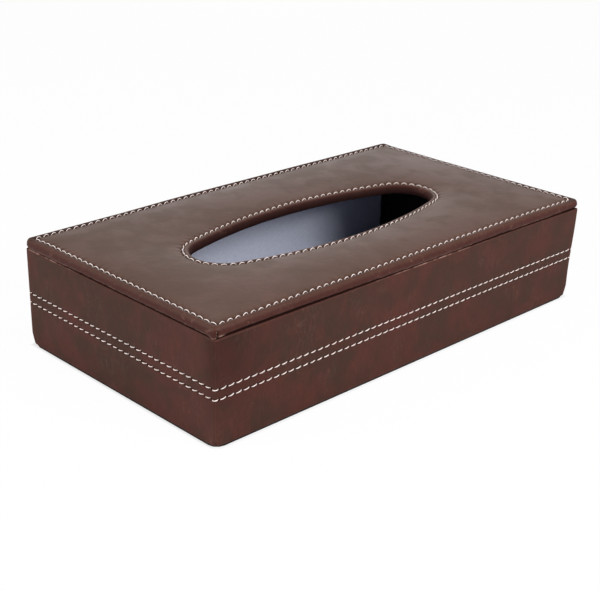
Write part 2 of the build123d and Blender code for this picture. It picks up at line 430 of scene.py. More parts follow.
def edge_lift(flat):
    """How far the lid's lower edge stands above its place."""
    x, y = flat[:, 0] / MM, flat[:, 1] / MM
    front = np.interp(x, *zip(*FRONT_LIFT)) * (y < -66)
    left = np.interp(y, *zip(*LEFT_LIFT)) * (x < -121)
    return (front + left * (y > -66)) * MM


def lid_edge(material):
    """Rolled edge of the lid: turned under at the bottom, sewn down along the seam on top."""
    skin = Skin(LID_COUNTS)
    bottom = LID_LOW.z
    widest = bottom + EDGE_RISE
    outline, seam = lid_ring(0.0), lid_ring(LID_SEAM_INSET)
    x, y = outline.T
    along = from_hole(seam)
    place = lengths_along(outline)[0]
    fold = from_corner(outline, LID_LOW.x, LID_LOW.y)
    lift = edge_lift(outline) + EDGE_RIPPLE * small_waves(place)
    tab = TAB_DROP * bell(fold + 0.9 * MM, 1.3 * MM)
    # the lid's lip is lighter where its edge lies lowest: wear, and a painted highlight
    lip_wear_and_highlight = 0.7 * np.clip(0.5 - lift / (0.4 * MM) + 0.5 * small_waves(place * 1.7), 0, 1)
    tighter = np.maximum(ease(y, 58 * MM, 69 * MM), ease(x, 114 * MM, 124 * MM))
    depth = EDGE_DEPTH + (FAR_EDGE_DEPTH - EDGE_DEPTH) * tighter
    back_rise = BACK_EDGE_RISE * ease(y, 62 * MM, 69 * MM) * ease(x, -80 * MM, 0)
    raised = CREST - FAR_CREST_DROP * tighter + back_rise
    other_corners = near_corners(
        outline, ((LID_HIGH.x, LID_LOW.y), (LID_HIGH.x, LID_HIGH.y), (LID_LOW.x, LID_HIGH.y)), 2.2 * MM)

    def add(inset, z, wear_and_highlight=1.0, dark=0.0):
        """A row of the roll, with the lifted lower edge and the folds of the corners, painted shade in the
        near corner's crease and a painted highlight low on the edge beside its fold.
        """
        share = np.broadcast_to(inset / LID_SEAM_INSET, len(outline))[:, None]
        low = np.clip((widest + 0.8 * MM - z) / (widest + 0.8 * MM - bottom), 0, 1)
        bend = 0.9 * MM + 0.35 * MM * ((z - widest) / (1.3 * MM)) ** 2
        crease = bell(fold - bend, 0.46 * MM) * (1 - ease(z, widest + 0.9 * MM, widest + 1.9 * MM))
        flat = outline + (seam - outline) * share - outward(outline) * (CREASE_DEPTH * crease)[:, None]
        z = z + lift * low - (tab + OTHER_CORNER_DROP * other_corners) * low**2
        hook_highlight = bell(fold - 2.9 * MM, 1.2 * MM) * bell(z - bottom - 0.5 * MM, 0.5 * MM)
        skin.add(flat, z, wear_and_highlight + 0.55 * hook_highlight, np.clip(dark + crease - 0.8 * hook_highlight, 0, 1))

    skin.add(lid_ring(LID_TURN_UNDER), bottom, share=0.0)
    # painted shade under the lid
    skin.add(lid_ring(7 * MM), bottom, 0.6, 1.0)
    add(3.0 * MM, bottom, 0.6, 1.0)
    # lower half of the roll, with the thin lip of the turned leather, lighter along the lip as wear and a
    # painted highlight, and painted shade in the groove above the lip and on the underside
    for _, sin, cos in arc(-88, -6, 15):
        z = widest + EDGE_RISE * sin
        lip = bell(z - bottom - 0.42 * MM, 0.2 * MM)
        groove = bell(z - bottom - 0.84 * MM, 0.16 * MM)
        inset = UNDER_DEPTH * (1 - cos**ROLL_FULLNESS) - LIP_STANDS_OUT * lip + LIP_GROOVE * groove
        under = ease(-z, -bottom - 0.3 * MM, -bottom - 0.12 * MM)
        add(inset, z, 1.0 + lip_wear_and_highlight * lip, max(0.5 * groove, under))
    # upper half, up to the crest beside the seam, with painted shade along the back and the right end
    rise = lid_surface(outline) + raised - widest
    for angle, sin, cos in arc(0, 84, 15):
        inset = depth * (1 - cos**ROLL_FULLNESS)
        pull = seam_relief(along, inset - LID_SEAM_INSET)
        dark = 0.55 * ease(angle, 30, 70) * tighter
        add(inset, widest + rise * sin + pull, 1.0 - 0.6 * ease(angle, 12, 60), dark)
    # down into the seam, with painted shade in the needle holes, on the crest's inner side and along the back
    # and the right end
    for inset in (2.5, 2.8, 3.05, 3.25, 3.4, 3.5):
        flat = lid_ring(inset * MM)
        across = inset * MM - LID_SEAM_INSET
        z = lid_surface(flat) + seam_relief(along, across) + raised * bell(inset - 2.3, 0.7)
        shade = np.maximum(seam_shade(along, across), 0.45 * ease(inset, 2.3, 2.8))
        skin.add(flat, z, 0.4, np.maximum(shade, 0.55 * tighter))
    # inner side, against the board
    for inset, z, share in (
        (LID_SEAM_INSET, VALLEY_FLOOR, 1.0), (LEATHER + 0.4 * MM, BOARD_HIGH.z + 0.1 * MM, 1.0),
        (LEATHER, BOARD_HIGH.z - 0.9 * MM, 1.0), (LEATHER, BOARD_LOW.z, 1.0),
        (LID_TURN_UNDER, BOARD_LOW.z, 0.0),
    ):
        skin.add(lid_ring(inset), z, share=share)
    skin.build("lid_edge", "lid", material, "lid_leather")


def lid_top(material):
    """Padded top of the lid, from the edge seam to the opening's seam, and through the opening."""
    skin = Skin(LID_COUNTS)
    bottom = LID_LOW.z
    along = from_hole(lid_ring(LID_SEAM_INSET))
    oval_along = from_hole(lid_oval(OPENING_SEAM_MARGIN))

    # up from the edge seam
    skin.add(lid_ring(LID_SEAM_INSET + 0.04 * MM), VALLEY_FLOOR)
    for across in (0.04, 0.25, 0.45, 0.7, 0.95, 1.25, 1.6, 2.05, 2.6, 3.4, 4.5, 6.5):
        flat = lid_ring(LID_SEAM_INSET + across * MM)
        z = lid_surface(flat) + seam_relief(along, across * MM)
        skin.add(flat, z, 0.4 * bell(across, 1.0), seam_shade(along, across * MM))
    # padded panel between the two seams
    outer, inner = lid_ring(10.5 * MM), lid_oval(OPENING_SEAM_MARGIN + 5 * MM)
    for t in np.linspace(0, 1, 11):
        flat = outer * (1 - t) + inner * t
        skin.add(flat, lid_surface(flat))
    # seam round the opening
    for across in (3.6, 2.6, 1.9, 1.4, 1.05, 0.75, 0.5, 0.25, 0.0, -0.25, -0.55, -0.95, -1.45):
        flat = lid_oval(OPENING_SEAM_MARGIN + across * MM)
        z = lid_surface(flat) + seam_relief(oval_along, across * MM)
        skin.add(flat, z, 0.0, seam_shade(oval_along, across * MM))
    # rolled edge and wall of the opening, with painted shade down the wall: more on its far side, and a dark
    # line along its near side
    for angle, sin, cos in arc(10, 90, 8):
        flat = lid_oval(OPENING_ROLL * (1 - sin))
        beyond = flat[:, 1] - OPENING_CENTRE[1]
        near = 0.7 * ease(-beyond, 0, 12 * MM) * ease(angle, 8, 30)
        far = 0.4 * ease(beyond, -4 * MM, 8 * MM) * ease(angle, 20, 55)
        shade = np.maximum(0.45 * ease(angle, 30, 65) + far, near)
        skin.add(flat, lid_surface(flat) - OPENING_ROLL * (1 - cos), ease(angle, 12, 40), shade)
    for margin, height, shade in ((0.0, 2.0, 0.95), (0.1, 0.6, 1.0), (0.6, 0.0, 1.0)):
        skin.add(lid_oval(margin * MM), bottom + height * MM, 1.0, shade)
    # inner side, round the board and over the foam
    for margin, z in (
        (OPENING_TURN_UNDER, bottom), (OPENING_TURN_UNDER, BOARD_LOW.z), (LEATHER, BOARD_LOW.z),
        (LEATHER, BOARD_HIGH.z), (OPENING_SEAM_MARGIN, VALLEY_FLOOR),
        (OPENING_SEAM_MARGIN + 3 * MM, LID_HIGH.z - LEATHER),
    ):
        skin.add(lid_oval(margin), z)
    skin.add(lid_ring(LID_SEAM_INSET + 4 * MM), LID_HIGH.z - LEATHER)
    piece = skin.build("lid_top", "lid", material, "lid_leather")


def lid_foam(material):
    """Foam under the top's leather, pressed thin along the seams."""
    counts = tuple(round(c / 4) for c in LID_COUNTS)
    skin = Skin(counts)
    under, pressed, full = FOAM_LOW.z, VALLEY_FLOOR - 0.1 * MM, LID_HIGH.z - LEATHER - 0.06 * MM
    for inset, z in ((2.4, under), (2.4, pressed), (4.2, pressed), (7.6, full)):
        skin.add(rounded_ring(LID_LOW, LID_HIGH, inset * MM, 1 * MM, counts), z)
    for margin, z in ((7.0, full), (4.3, pressed), (2.0, pressed), (2.0, under)):
        skin.add(oval(margin * MM, counts), z)
    piece = skin.build("lid_foam", "lid", material, "lid_padding")


# ---- box

BOX_COUNTS = counts_for(BOX_LOW, BOX_HIGH, BOX_CORNER_RADIUS)


def box_ring(inset, corner=0.0):
    """Ring parallel to the box's sides, with its corners rounded more by an extra radius."""
    radius = max(BOX_CORNER_RADIUS - inset, 0.5 * MM) + corner
    return rounded_ring(BOX_LOW, BOX_HIGH, inset, radius, BOX_COUNTS)


def base_rounding(z):
    """The folded corners are rounder towards the base."""
    return BASE_CORNER_ROUNDING * (1 - ease(z, BOX_LOW.z, BOX_LOW.z + BASE_ROUNDING_HEIGHT))


def side_cover(material):
    """Leather round the box: turned under, up the sides with two sunk seams, and in over the rim."""
    skin = Skin(BOX_COUNTS)
    base, rim = BOX_LOW.z, BOX_HIGH.z
    outline = box_ring(0.0)
    x, y = outline.T
    normals = outward(outline)
    along = from_hole(outline)
    corners = [(end.x, side.y) for end in (BOX_LOW, BOX_HIGH) for side in (BOX_LOW, BOX_HIGH)]
    corners = np.clip(near_corners(outline, corners, 3.2 * MM), 0, 1)
    near = from_corner(outline, BOX_LOW.x, BOX_LOW.y)
    # painted shade along the front, deepest at its left corner and towards the top
    painted_corner_shade = 0.5 * bell(near, np.where(near > 0, 27 * MM, 6 * MM))
    # the front, lit by the front lamp, takes less painted shadow along its base
    lit = 0.75 * ease(-y, 60 * MM, 68 * MM)
    raised = bell(x - 10 * MM, 28 * MM) * (y < -60 * MM)
    raised += 0.9 * bell(y - 60 * MM, 24 * MM) * (x < -120 * MM)
    ripple = small_waves(lengths_along(outline)[0] + 0.3)
    rim_rise = RIM_RISE * raised + RIM_RIPPLE * ripple

    # under the base and round its edge, with a painted shadow along the bottom of the edge, weaker on the
    # front, a painted highlight line above it, and the corners tinted towards the edge tone
    skin.add(box_ring(BASE_TURN_UNDER), base)
    skin.add(box_ring(6 * MM), base)
    roll = BOX_BOTTOM_RADIUS + 0.3 * MM * corners
    for angle, sin, cos in arc(0, 90, 9):
        flat = box_ring(0.0, base_rounding(base)) - normals * (roll * (1 - sin))[:, None]
        rubbed_and_highlit = np.maximum(1.1 * bell(angle - 72, 12), 0.3 * corners)
        skin.add(flat, base + roll * (1 - cos), rubbed_and_highlit, (1 - ease(angle, 30, 75)) * (1 - lit))
    # up the sides, with painted shade in the needle holes and along the front
    low_seam, high_seam = SIDE_SEAM_HEIGHTS
    steps = np.array([-1.5, -1.0, -0.7, -0.45, -0.2, 0.0, 0.2, 0.45, 0.7, 1.0, 1.5]) * MM
    heights = [
        *np.linspace(base + 3.2 * MM, low_seam - 2.5 * MM, 7),
        *(low_seam + steps), (low_seam + high_seam) / 2, *(high_seam + steps),
        *np.linspace(high_seam + 2.5 * MM, rim - BOX_RIM_RADIUS - 0.5 * MM, 9),
    ]
    for z in heights:
        wave = SIDE_WAVE * slow_waves(x, y, z) * (1 - corners)
        sink, dark = 0.0, 0.0
        for seam in SIDE_SEAM_HEIGHTS:
            across = z - seam
            hole = bell(along + SIDE_HOLE_SLANT * across, 0.6 * MM) * bell(across, 0.5 * MM)
            sink = sink + SIDE_VALLEY_DEPTH * bell(across, 0.7 * MM) + SIDE_HOLE_DEPTH * hole
            dark = dark + 0.9 * hole + 0.2 * bell(across, 0.4 * MM)
        flat = box_ring(0.0, base_rounding(z)) + normals * (wave - sink)[:, None]
        rubbed_and_highlit = 0.3 * corners + 0.75 * corners**4
        skin.add(flat, z, rubbed_and_highlit, np.clip(dark + painted_corner_shade * ease(z, 0, 42 * MM), 0, 1))
    # over the rim and down inside, with painted shade where the rim turns in under the lid
    for angle, sin, cos in arc(0, 90, 6):
        flat = box_ring(BOX_RIM_RADIUS * (1 - cos))
        z = rim - BOX_RIM_RADIUS * (1 - sin) + rim_rise * sin
        rubbed_and_highlit = np.clip(0.8 * raised * (0.6 + ripple), 0, 1) * bell(angle - 36, 30)
        skin.add(flat, z, ease(angle, -1, 20) + rubbed_and_highlit, ease(angle, 40, 80))
    inside = WALL_BOARD + 2 * LEATHER
    for angle, sin, cos in arc(0, 90, 4):
        flat = box_ring(inside - BOX_RIM_RADIUS * (1 - sin))
        z = rim - BOX_RIM_RADIUS * (1 - cos)
        skin.add(flat, z, 1.0, 1 - ease(angle, 0, 60), share=0.0)
    # end of the turned-in leather, and back along the boards
    for inset, z in (
        (inside, rim - RIM_TURN_IN), (inside - LEATHER, rim - RIM_TURN_IN), (inside - LEATHER, rim - LEATHER),
        (LEATHER, rim - LEATHER), (LEATHER, base + LEATHER), (BASE_TURN_UNDER, base + LEATHER),
    ):
        skin.add(box_ring(inset), z, share=0.0)
    skin.build("side_cover", "box", material, "side_wrap")


def base_felt(material):
    """Felt glued under the base, raised in the middle to fill the space inside the turned-under leather."""
    counts = tuple(round(c / 4) for c in BOX_COUNTS)
    middle = BASE_TURN_UNDER + 1 * MM
    rings = [
        level(rounded_ring(FELT_LOW, FELT_HIGH, inset, max(FELT_CORNER - inset, 1 * MM), counts), z)
        for inset, z in (
            (0.1 * MM, FELT_LOW.z), (0, FELT_LOW.z + 0.15 * MM), (0, FELT_THICKNESS),
            (middle, FELT_THICKNESS), (middle, FELT_HIGH.z),
        )
    ]
    at = np.arange(len(rings) * len(rings[0])).reshape(len(rings), -1)
    right = np.roll(at, -1, 1)
    faces = [at[0][::-1].tolist(), at[-1].tolist(), *quads(at[:-1], right[:-1], right[1:], at[1:])]
    piece = put("base_felt", new_mesh("base_felt", hand_made(np.concatenate(rings)), faces), material)
    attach(piece, "box")
    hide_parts("base_cover")


# ---- hinge

def hinge_strip(material):
    """Leather strip glued along the back: pared thin at its edges, with a crease where it bends."""
    low, high = STRIP_LOW, STRIP_HIGH
    half = (high.x - low.x) / 2
    columns = np.concatenate([
        -half + np.linspace(0, 3, 7) * MM, np.linspace(-half + 4 * MM, half - 4 * MM, 150),
        half - np.linspace(3, 0, 7) * MM,
    ])
    heights = np.concatenate([
        low.z + np.array([0, 0.3, 0.7, 1.2, 1.7, 2.3, 3.2]) * MM,
        np.linspace(low.z + 4.5 * MM, HINGE_Z - 1.6 * MM, 8),
        HINGE_Z + np.array([-1.2, -0.8, -0.4, 0, 0.4, 0.8, 1.2]) * MM,
        high.z - np.array([1.0, 0.6, 0.3, 0]) * MM,
    ])
    z, x = np.meshgrid(heights, columns, indexing="ij")
    corner = np.maximum(low.z + STRIP_CORNER - z, 0)
    reach = half - STRIP_CORNER + np.sqrt(np.maximum(STRIP_CORNER**2 - corner**2, 0))
    from_edge = np.minimum(np.minimum(z - low.z, high.z - z), half - np.abs(x))
    pared = STRIP_EDGE + (high.y - low.y - STRIP_EDGE) * np.sqrt(ease(from_edge, 0, STRIP_SKIVE))
    wave = STRIP_WAVE * (slow_waves(3 * x, 0, 3 * z) * (from_edge > 2 * MM) - 1)
    outer_y = low.y + pared - STRIP_CREASE * bell(z - HINGE_Z, 0.5 * MM) + wave
    sides = [np.stack([x * reach / half, y, z], -1) for y in (np.full_like(x, low.y), outer_y)]
    inner, outer = np.arange(2 * x.size).reshape(2, *x.shape)
    faces = between(inner[:-1], inner[1:])
    faces += quads(outer[:-1, :-1], outer[1:, :-1], outer[1:, 1:], outer[:-1, 1:])
    faces += between(inner[:, 0], outer[:, 0]) + between(outer[:, -1], inner[:, -1])
    faces += between(outer[0], inner[0]) + between(inner[-1], outer[-1])
    mesh = new_mesh("hinge_leather", np.concatenate(sides).reshape(-1, 3), faces)
    mesh.shade_smooth()
    piece = put("hinge_leather", mesh, material)
    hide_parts("hinge_strip")
    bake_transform(piece)


# ---- nodes

def feed(tree, socket, value):
    """Links a socket to an input, or sets the input to a plain value."""
    if isinstance(value, bpy.types.NodeSocket):
        tree.links.new(value, socket)
    else:
        socket.default_value = value


def run(tree, kind, inputs=None, output=0, **settings):
    """A new node with its settings and its inputs, by name or number; returns one of its outputs."""
    made = tree.nodes.new(kind)
    for key, value in settings.items():
        setattr(made, key, value)
    for key, value in (inputs or {}).items():
        feed(tree, made.inputs[key], value)
    return made.outputs[output] if output is not None else made


def maths(tree, operation, *inputs):
    return run(tree, "ShaderNodeMath", dict(enumerate(inputs)), operation=operation)


def product(tree, value, *factors):
    for factor in factors:
        value = maths(tree, "MULTIPLY", value, factor)
    return value


def vectors(tree, operation, *inputs, output=0):
    keys = (0, "Scale") if operation == "SCALE" else range(len(inputs))
    return run(tree, "ShaderNodeVectorMath", dict(zip(keys, inputs)), output, operation=operation)


def ends_of(tree, inputs, outputs):
    """Gives a node group its input and output sockets; returns the two ends inside it."""
    for label, kind, default in inputs:
        socket = tree.interface.new_socket(label, in_out="INPUT", socket_type="NodeSocket" + kind)
        if default is not None:
            socket.default_value = default
    for label, kind in outputs:
        tree.interface.new_socket(label, in_out="OUTPUT", socket_type="NodeSocket" + kind)
    given = run(tree, "NodeGroupInput", output=None).outputs
    return given, run(tree, "NodeGroupOutput", output=None).inputs


# ---- thread

THREAD_STEPS = 8
PROFILE_POINTS = 6
THREAD_INPUTS = (
    ("Geometry", "Geometry", None),
    ("Stitches", "Int", 100),
    ("Thread Radius", "Float", 0.3 * MM),
    ("Rise", "Float", 0.4 * MM),
    ("Sink", "Float", 0.8 * MM),
    ("Slant", "Float", 0.25 * MM),
    ("Dive", "Float", 4.0),
    ("Unevenness", "Float", 0.14),
    ("Plies", "Int", 3),
    ("Ply Turns", "Float", 1.3),
    ("Seed", "Int", 7),
    ("Thread", "Material", None),
)
PLY_DEPTH = 0.09
END_TAPER = 0.55


def thread_tree():
    """Geometry nodes that sew a row of stitches along a closed edge loop. The loop carries the
    attribute seam_normal, which points out of the leather."""
    tree = bpy.data.node_groups.new("thread_row", "GeometryNodeTree")
    given, result = ends_of(tree, THREAD_INPUTS, [("Geometry", "Geometry")])
    steps = float(THREAD_STEPS)

    def named(attribute, kind):
        return run(tree, "GeometryNodeInputNamedAttribute", {"Name": attribute}, data_type=kind)

    # the seam as a curve, with a few points for each stitch
    seam = run(tree, "GeometryNodeMeshToCurve", {"Mesh": given["Geometry"]})
    count = maths(tree, "MULTIPLY", given["Stitches"], steps)
    seam = run(tree, "GeometryNodeResampleCurve", {"Curve": seam, "Count": count}, mode="COUNT")

    index = run(tree, "GeometryNodeInputIndex")
    stitch = maths(tree, "FLOOR", maths(tree, "DIVIDE", index, steps))
    u = maths(tree, "DIVIDE", maths(tree, "MODULO", index, steps), steps - 1)

    def uneven(offset):
        """About 1, different for each stitch."""
        seed = maths(tree, "ADD", given["Seed"], float(offset))
        low, high = 2, 3  # the node's inputs for plain numbers
        inputs = {low: -1.0, high: 1.0, "ID": stitch, "Seed": seed}
        value = run(tree, "FunctionNodeRandomValue", inputs, 1, data_type="FLOAT")
        return maths(tree, "MULTIPLY_ADD", value, given["Unevenness"], 1.0)

    # thread leaves its hole, bows over and dives into the next hole
    centred = maths(tree, "MULTIPLY_ADD", u, 2.0, -1.0)
    dive = maths(tree, "POWER", maths(tree, "ABSOLUTE", centred), given["Dive"])
    bow = maths(tree, "SUBTRACT", 1.0, dive)
    lift = product(tree, bow, given["Rise"], uneven(0))
    height = maths(tree, "SUBTRACT", lift, maths(tree, "MULTIPLY", dive, given["Sink"]))
    sideways = product(tree, centred, given["Slant"], uneven(5))
    normal = vectors(tree, "NORMALIZE", named("seam_normal", "FLOAT_VECTOR"))
    tangent = run(tree, "GeometryNodeInputTangent")
    side = vectors(tree, "NORMALIZE", vectors(tree, "CROSS_PRODUCT", normal, tangent))
    out, across = vectors(tree, "SCALE", normal, height), vectors(tree, "SCALE", side, sideways)
    move = vectors(tree, "ADD", out, across)
    bowed = run(tree, "GeometryNodeSetPosition", {"Geometry": seam, "Offset": move})

    # keep how far along its stitch each point is, and cut the run between stitches
    inputs = {"Name": "along_stitch", "Geometry": bowed, "Value": u}
    kept = run(tree, "GeometryNodeStoreNamedAttribute", inputs, data_type="FLOAT", domain="POINT")
    wires = run(tree, "GeometryNodeCurveToMesh", {"Curve": kept})
    edge_end = maths(tree, "MODULO", maths(tree, "ADD", index, 1.0), steps)
    inputs = {"Geometry": wires, "Selection": maths(tree, "LESS_THAN", edge_end, 0.5)}
    cut = run(tree, "GeometryNodeDeleteGeometry", inputs, domain="EDGE", mode="EDGE_FACE")
    runs = run(tree, "GeometryNodeMeshToCurve", {"Mesh": cut})

    # twisted thread swept along each stitch, drawn thin where it goes through the leather
    along = named("along_stitch", "FLOAT")
    turns = product(tree, along, given["Ply Turns"], math.tau)
    twisted = run(tree, "GeometryNodeSetCurveTilt", {"Curve": runs, "Tilt": turns})
    inputs = {"Resolution": PROFILE_POINTS, "Radius": 1.0}
    circle = run(tree, "GeometryNodeCurvePrimitiveCircle", inputs, mode="RADIUS")
    angle = product(tree, index, given["Plies"], math.tau / PROFILE_POINTS)
    lobes = maths(tree, "MULTIPLY_ADD", maths(tree, "COSINE", angle), PLY_DEPTH, 0.97)
    lobed = vectors(tree, "SCALE", run(tree, "GeometryNodeInputPosition"), lobes)
    profile = run(tree, "GeometryNodeSetPosition", {"Geometry": circle, "Position": lobed})
    from_middle = maths(tree, "ABSOLUTE", maths(tree, "MULTIPLY_ADD", along, 2.0, -1.0))
    taper = maths(tree, "MULTIPLY_ADD", maths(tree, "POWER", from_middle, 2.5), -END_TAPER, 1.0)
    swept = run(tree, "GeometryNodeCurveToMesh", {
        "Curve": twisted, "Profile Curve": profile, "Fill Caps": True,
        "Scale": maths(tree, "MULTIPLY", taper, given["Thread Radius"]),
    })
    smooth = run(tree, "GeometryNodeSetShadeSmooth", {"Geometry": swept})
    real = run(tree, "GeometryNodeRealizeInstances", {"Geometry": smooth})
    dressed = run(tree, "GeometryNodeSetMaterial", {"Geometry": real, "Material": given["Thread"]})
    tree.links.new(dressed, result[0])
    return tree


def from_first_hole(ring, normals):
    """A seam's points and normals, spread evenly from its first needle hole."""
    flat = ring[:, :2]
    s, whole = lengths_along(flat)
    count = stitches_on(flat) * THREAD_STEPS
    wanted = (whole / stitches_on(flat) / 2 + np.arange(count) * whole / count) % whole
    table = np.concatenate([ring, normals], 1)
    table = np.concatenate([table, table[:1]])
    spread = np.stack([np.interp(wanted, np.append(s, whole), column) for column in table.T], 1)
    return hand_made(spread[:, :3]), spread[:, 3:]


def sew(name, tree, ring, normals, body, **values):
    """Runs the thread tree along a ring and keeps the result as a plain mesh."""
    loop, loop_normals = from_first_hole(ring, normals)
    edges = [(i, (i + 1) % len(loop)) for i in range(len(loop))]
    mesh = new_mesh(name + "_seam", loop, [], edges)
    layer = mesh.attributes.new("seam_normal", "FLOAT_VECTOR", "POINT")
    layer.data.foreach_set("vector", loop_normals.astype(np.float32).ravel())
    seam = put(name + "_seam", mesh)
    modifier = seam.modifiers.new("thread", "NODES")
    modifier.node_group = tree
    sockets = {s.name: s.identifier for s in tree.interface.items_tree if s.in_out == "INPUT"}
    for key, value in {"Stitches": stitches_on(ring[:, :2]), **values}.items():
        modifier[sockets[key.replace("_", " ")]] = value
    bpy.context.view_layer.update()
    result = bpy.data.meshes.new_from_object(seam.evaluated_get(bpy.context.evaluated_depsgraph_get()))
    seam.modifiers.clear()
    bpy.data.objects.remove(seam)
    result.name = name
    piece = put(name, result)
    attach(piece, body)


def sew_all(thread):
    """Every row of stitches."""
    tree = thread_tree()
    up = np.tile([0.0, 0.0, 1.0], (4 * sum(LID_COUNTS), 1))
    for name, flat, seed in (
        ("lid_edge_thread", lid_ring(LID_SEAM_INSET), 3),
        ("opening_thread", lid_oval(OPENING_SEAM_MARGIN), 11),
    ):
        ring = level(flat, lid_surface(flat) - LID_THREAD_DEPTH)
        sew(name, tree, ring, up, "lid", Thread_Radius=0.24 * MM, Rise=0.70 * MM, Slant=0.30 * MM, Dive=2.7,
            Seed=seed, Thread=thread)
    edge = box_ring(SIDE_THREAD_DEPTH)
    out = np.column_stack([outward(edge), np.zeros(len(edge))])
    for name, z in zip(("low_side_thread", "high_side_thread"), SIDE_SEAM_HEIGHTS):
        sew(name, tree, level(edge, z), out, "box", Thread_Radius=0.28 * MM, Rise=0.30 * MM,
            Slant=0.34 * MM, Dive=3.6, Seed=round(z / MM), Thread=thread)


# ---- materials

SIDE_TONES = dict(
    base=(0.057, 0.0205, 0.0145), warm=(0.073, 0.0205, 0.0148), olive=(0.045, 0.0215, 0.0143),
    red=(0.105, 0.028, 0.020), edge=(0.070, 0.023, 0.016),
)
LID_TONES = dict(
    base=(0.088, 0.0440, 0.0305), warm=(0.100, 0.0480, 0.0345), olive=(0.079, 0.0415, 0.0280),
    red=(0.130, 0.058, 0.043), edge=(0.051, 0.0130, 0.0090),
)
RUBBED_AND_HIGHLIGHT_TONE = (0.36, 0.21, 0.17)
SEAM_SHADOW = (0.008, 0.0022, 0.0018)
RELIEF = 0.3


def noise(tree, vector, scale, detail=3.0, roughness=0.55, distortion=0.0):
    """Noise value, mostly between 0.3 and 0.7."""
    return run(tree, "ShaderNodeTexNoise", {
        "Vector": vector, "Scale": scale, "Detail": detail, "Roughness": roughness, "Distortion": distortion,
    })


def stretch(tree, value, low, high):
    """Stretches the values between low and high to 0 and 1."""
    inputs = {"Value": value, "From Min": low, "From Max": high}
    return run(tree, "ShaderNodeMapRange", inputs, interpolation_type="SMOOTHSTEP")


def mix(tree, factor, first, second, blend="MIX"):
    """Mix of two colours, each a socket or a plain colour."""
    first, second = ((*c, 1.0) if isinstance(c, tuple) else c for c in (first, second))
    inputs = {0: factor, 6: first, 7: second}  # the node's inputs for colours
    return run(tree, "ShaderNodeMix", inputs, 2, data_type="RGBA", blend_type=blend)


def leather_group():
    """Grain, mottling, scuffs and creases of waxed leather. Grain Stretch draws them out along the hide."""
    tree = bpy.data.node_groups.new("waxed_leather", "ShaderNodeTree")
    labels = "Grain", "Patches", "Mottle", "Flecks", "Creases", "Scuffs"
    inputs = ("Vector", "Vector", None), ("Grain Stretch", "Vector", (1, 1, 1))
    given, result = ends_of(tree, inputs, [(label, "Float") for label in labels])
    place = given["Vector"]
    drawn = vectors(tree, "MULTIPLY", place, given["Grain Stretch"])
    pebbles = run(tree, "ShaderNodeTexVoronoi", {"Vector": place, "Scale": 1700.0}, "Distance",
                  feature="SMOOTH_F1")
    creases = noise(tree, drawn, scale=520.0, detail=5.0, roughness=0.65, distortion=0.6)
    grain = maths(tree, "MULTIPLY", pebbles, 0.5)
    for part, weight in (
        (noise(tree, place, scale=2600.0, detail=2.0), 0.3),
        (creases, 0.9),
        (noise(tree, place, scale=95.0, detail=2.0), 1.6),
    ):
        grain = maths(tree, "MULTIPLY_ADD", part, weight, grain)
    clouds = maths(tree, "MULTIPLY", noise(tree, place, scale=22.0, detail=2.0), 0.5)
    small_clouds = noise(tree, place, scale=85.0, roughness=0.5, distortion=0.4)
    clouds = maths(tree, "MULTIPLY_ADD", small_clouds, 0.5, clouds)
    mottle = noise(tree, place, scale=300.0, detail=4.0, roughness=0.62, distortion=0.4)
    flecks = noise(tree, drawn, scale=230.0, detail=4.0, roughness=0.65, distortion=1.2)
    veins = noise(tree, drawn, scale=170.0, detail=4.0, roughness=0.6, distortion=1.5)
    veins = maths(tree, "ABSOLUTE", maths(tree, "SUBTRACT", veins, 0.5))
    where = stretch(tree, noise(tree, place, scale=60.0, detail=2.0), 0.50, 0.66)
    found = (
        grain,
        stretch(tree, clouds, 0.40, 0.60),
        stretch(tree, mottle, 0.32, 0.68),
        stretch(tree, flecks, 0.57, 0.70),
        stretch(tree, creases, 0.34, 0.66),
        product(tree, stretch(tree, veins, 0.035, 0.0), where),
    )
    for label, value in zip(labels, found):
        tree.links.new(value, result[label])
    return tree


def principled(name, **values):
    """A new material with its tree, shader and object coordinates. The values are set on the shader."""
    material = bpy.data.materials.new(name)
    material.use_nodes = True
    tree = material.node_tree
    shader = tree.nodes["Principled BSDF"]
    for label, value in values.items():
        shader.inputs[label.replace("_", " ")].default_value = value
    return material, tree, shader, run(tree, "ShaderNodeTexCoord", output="Object")


def surface(tree, shader, colour, height, depth):
    """A shader's colour, and its relief from a height."""
    tree.links.new(colour, shader.inputs["Base Color"])
    inputs = {"Strength": RELIEF, "Distance": depth, "Height": height}
    tree.links.new(run(tree, "ShaderNodeBump", inputs, "Normal"), shader.inputs["Normal"])


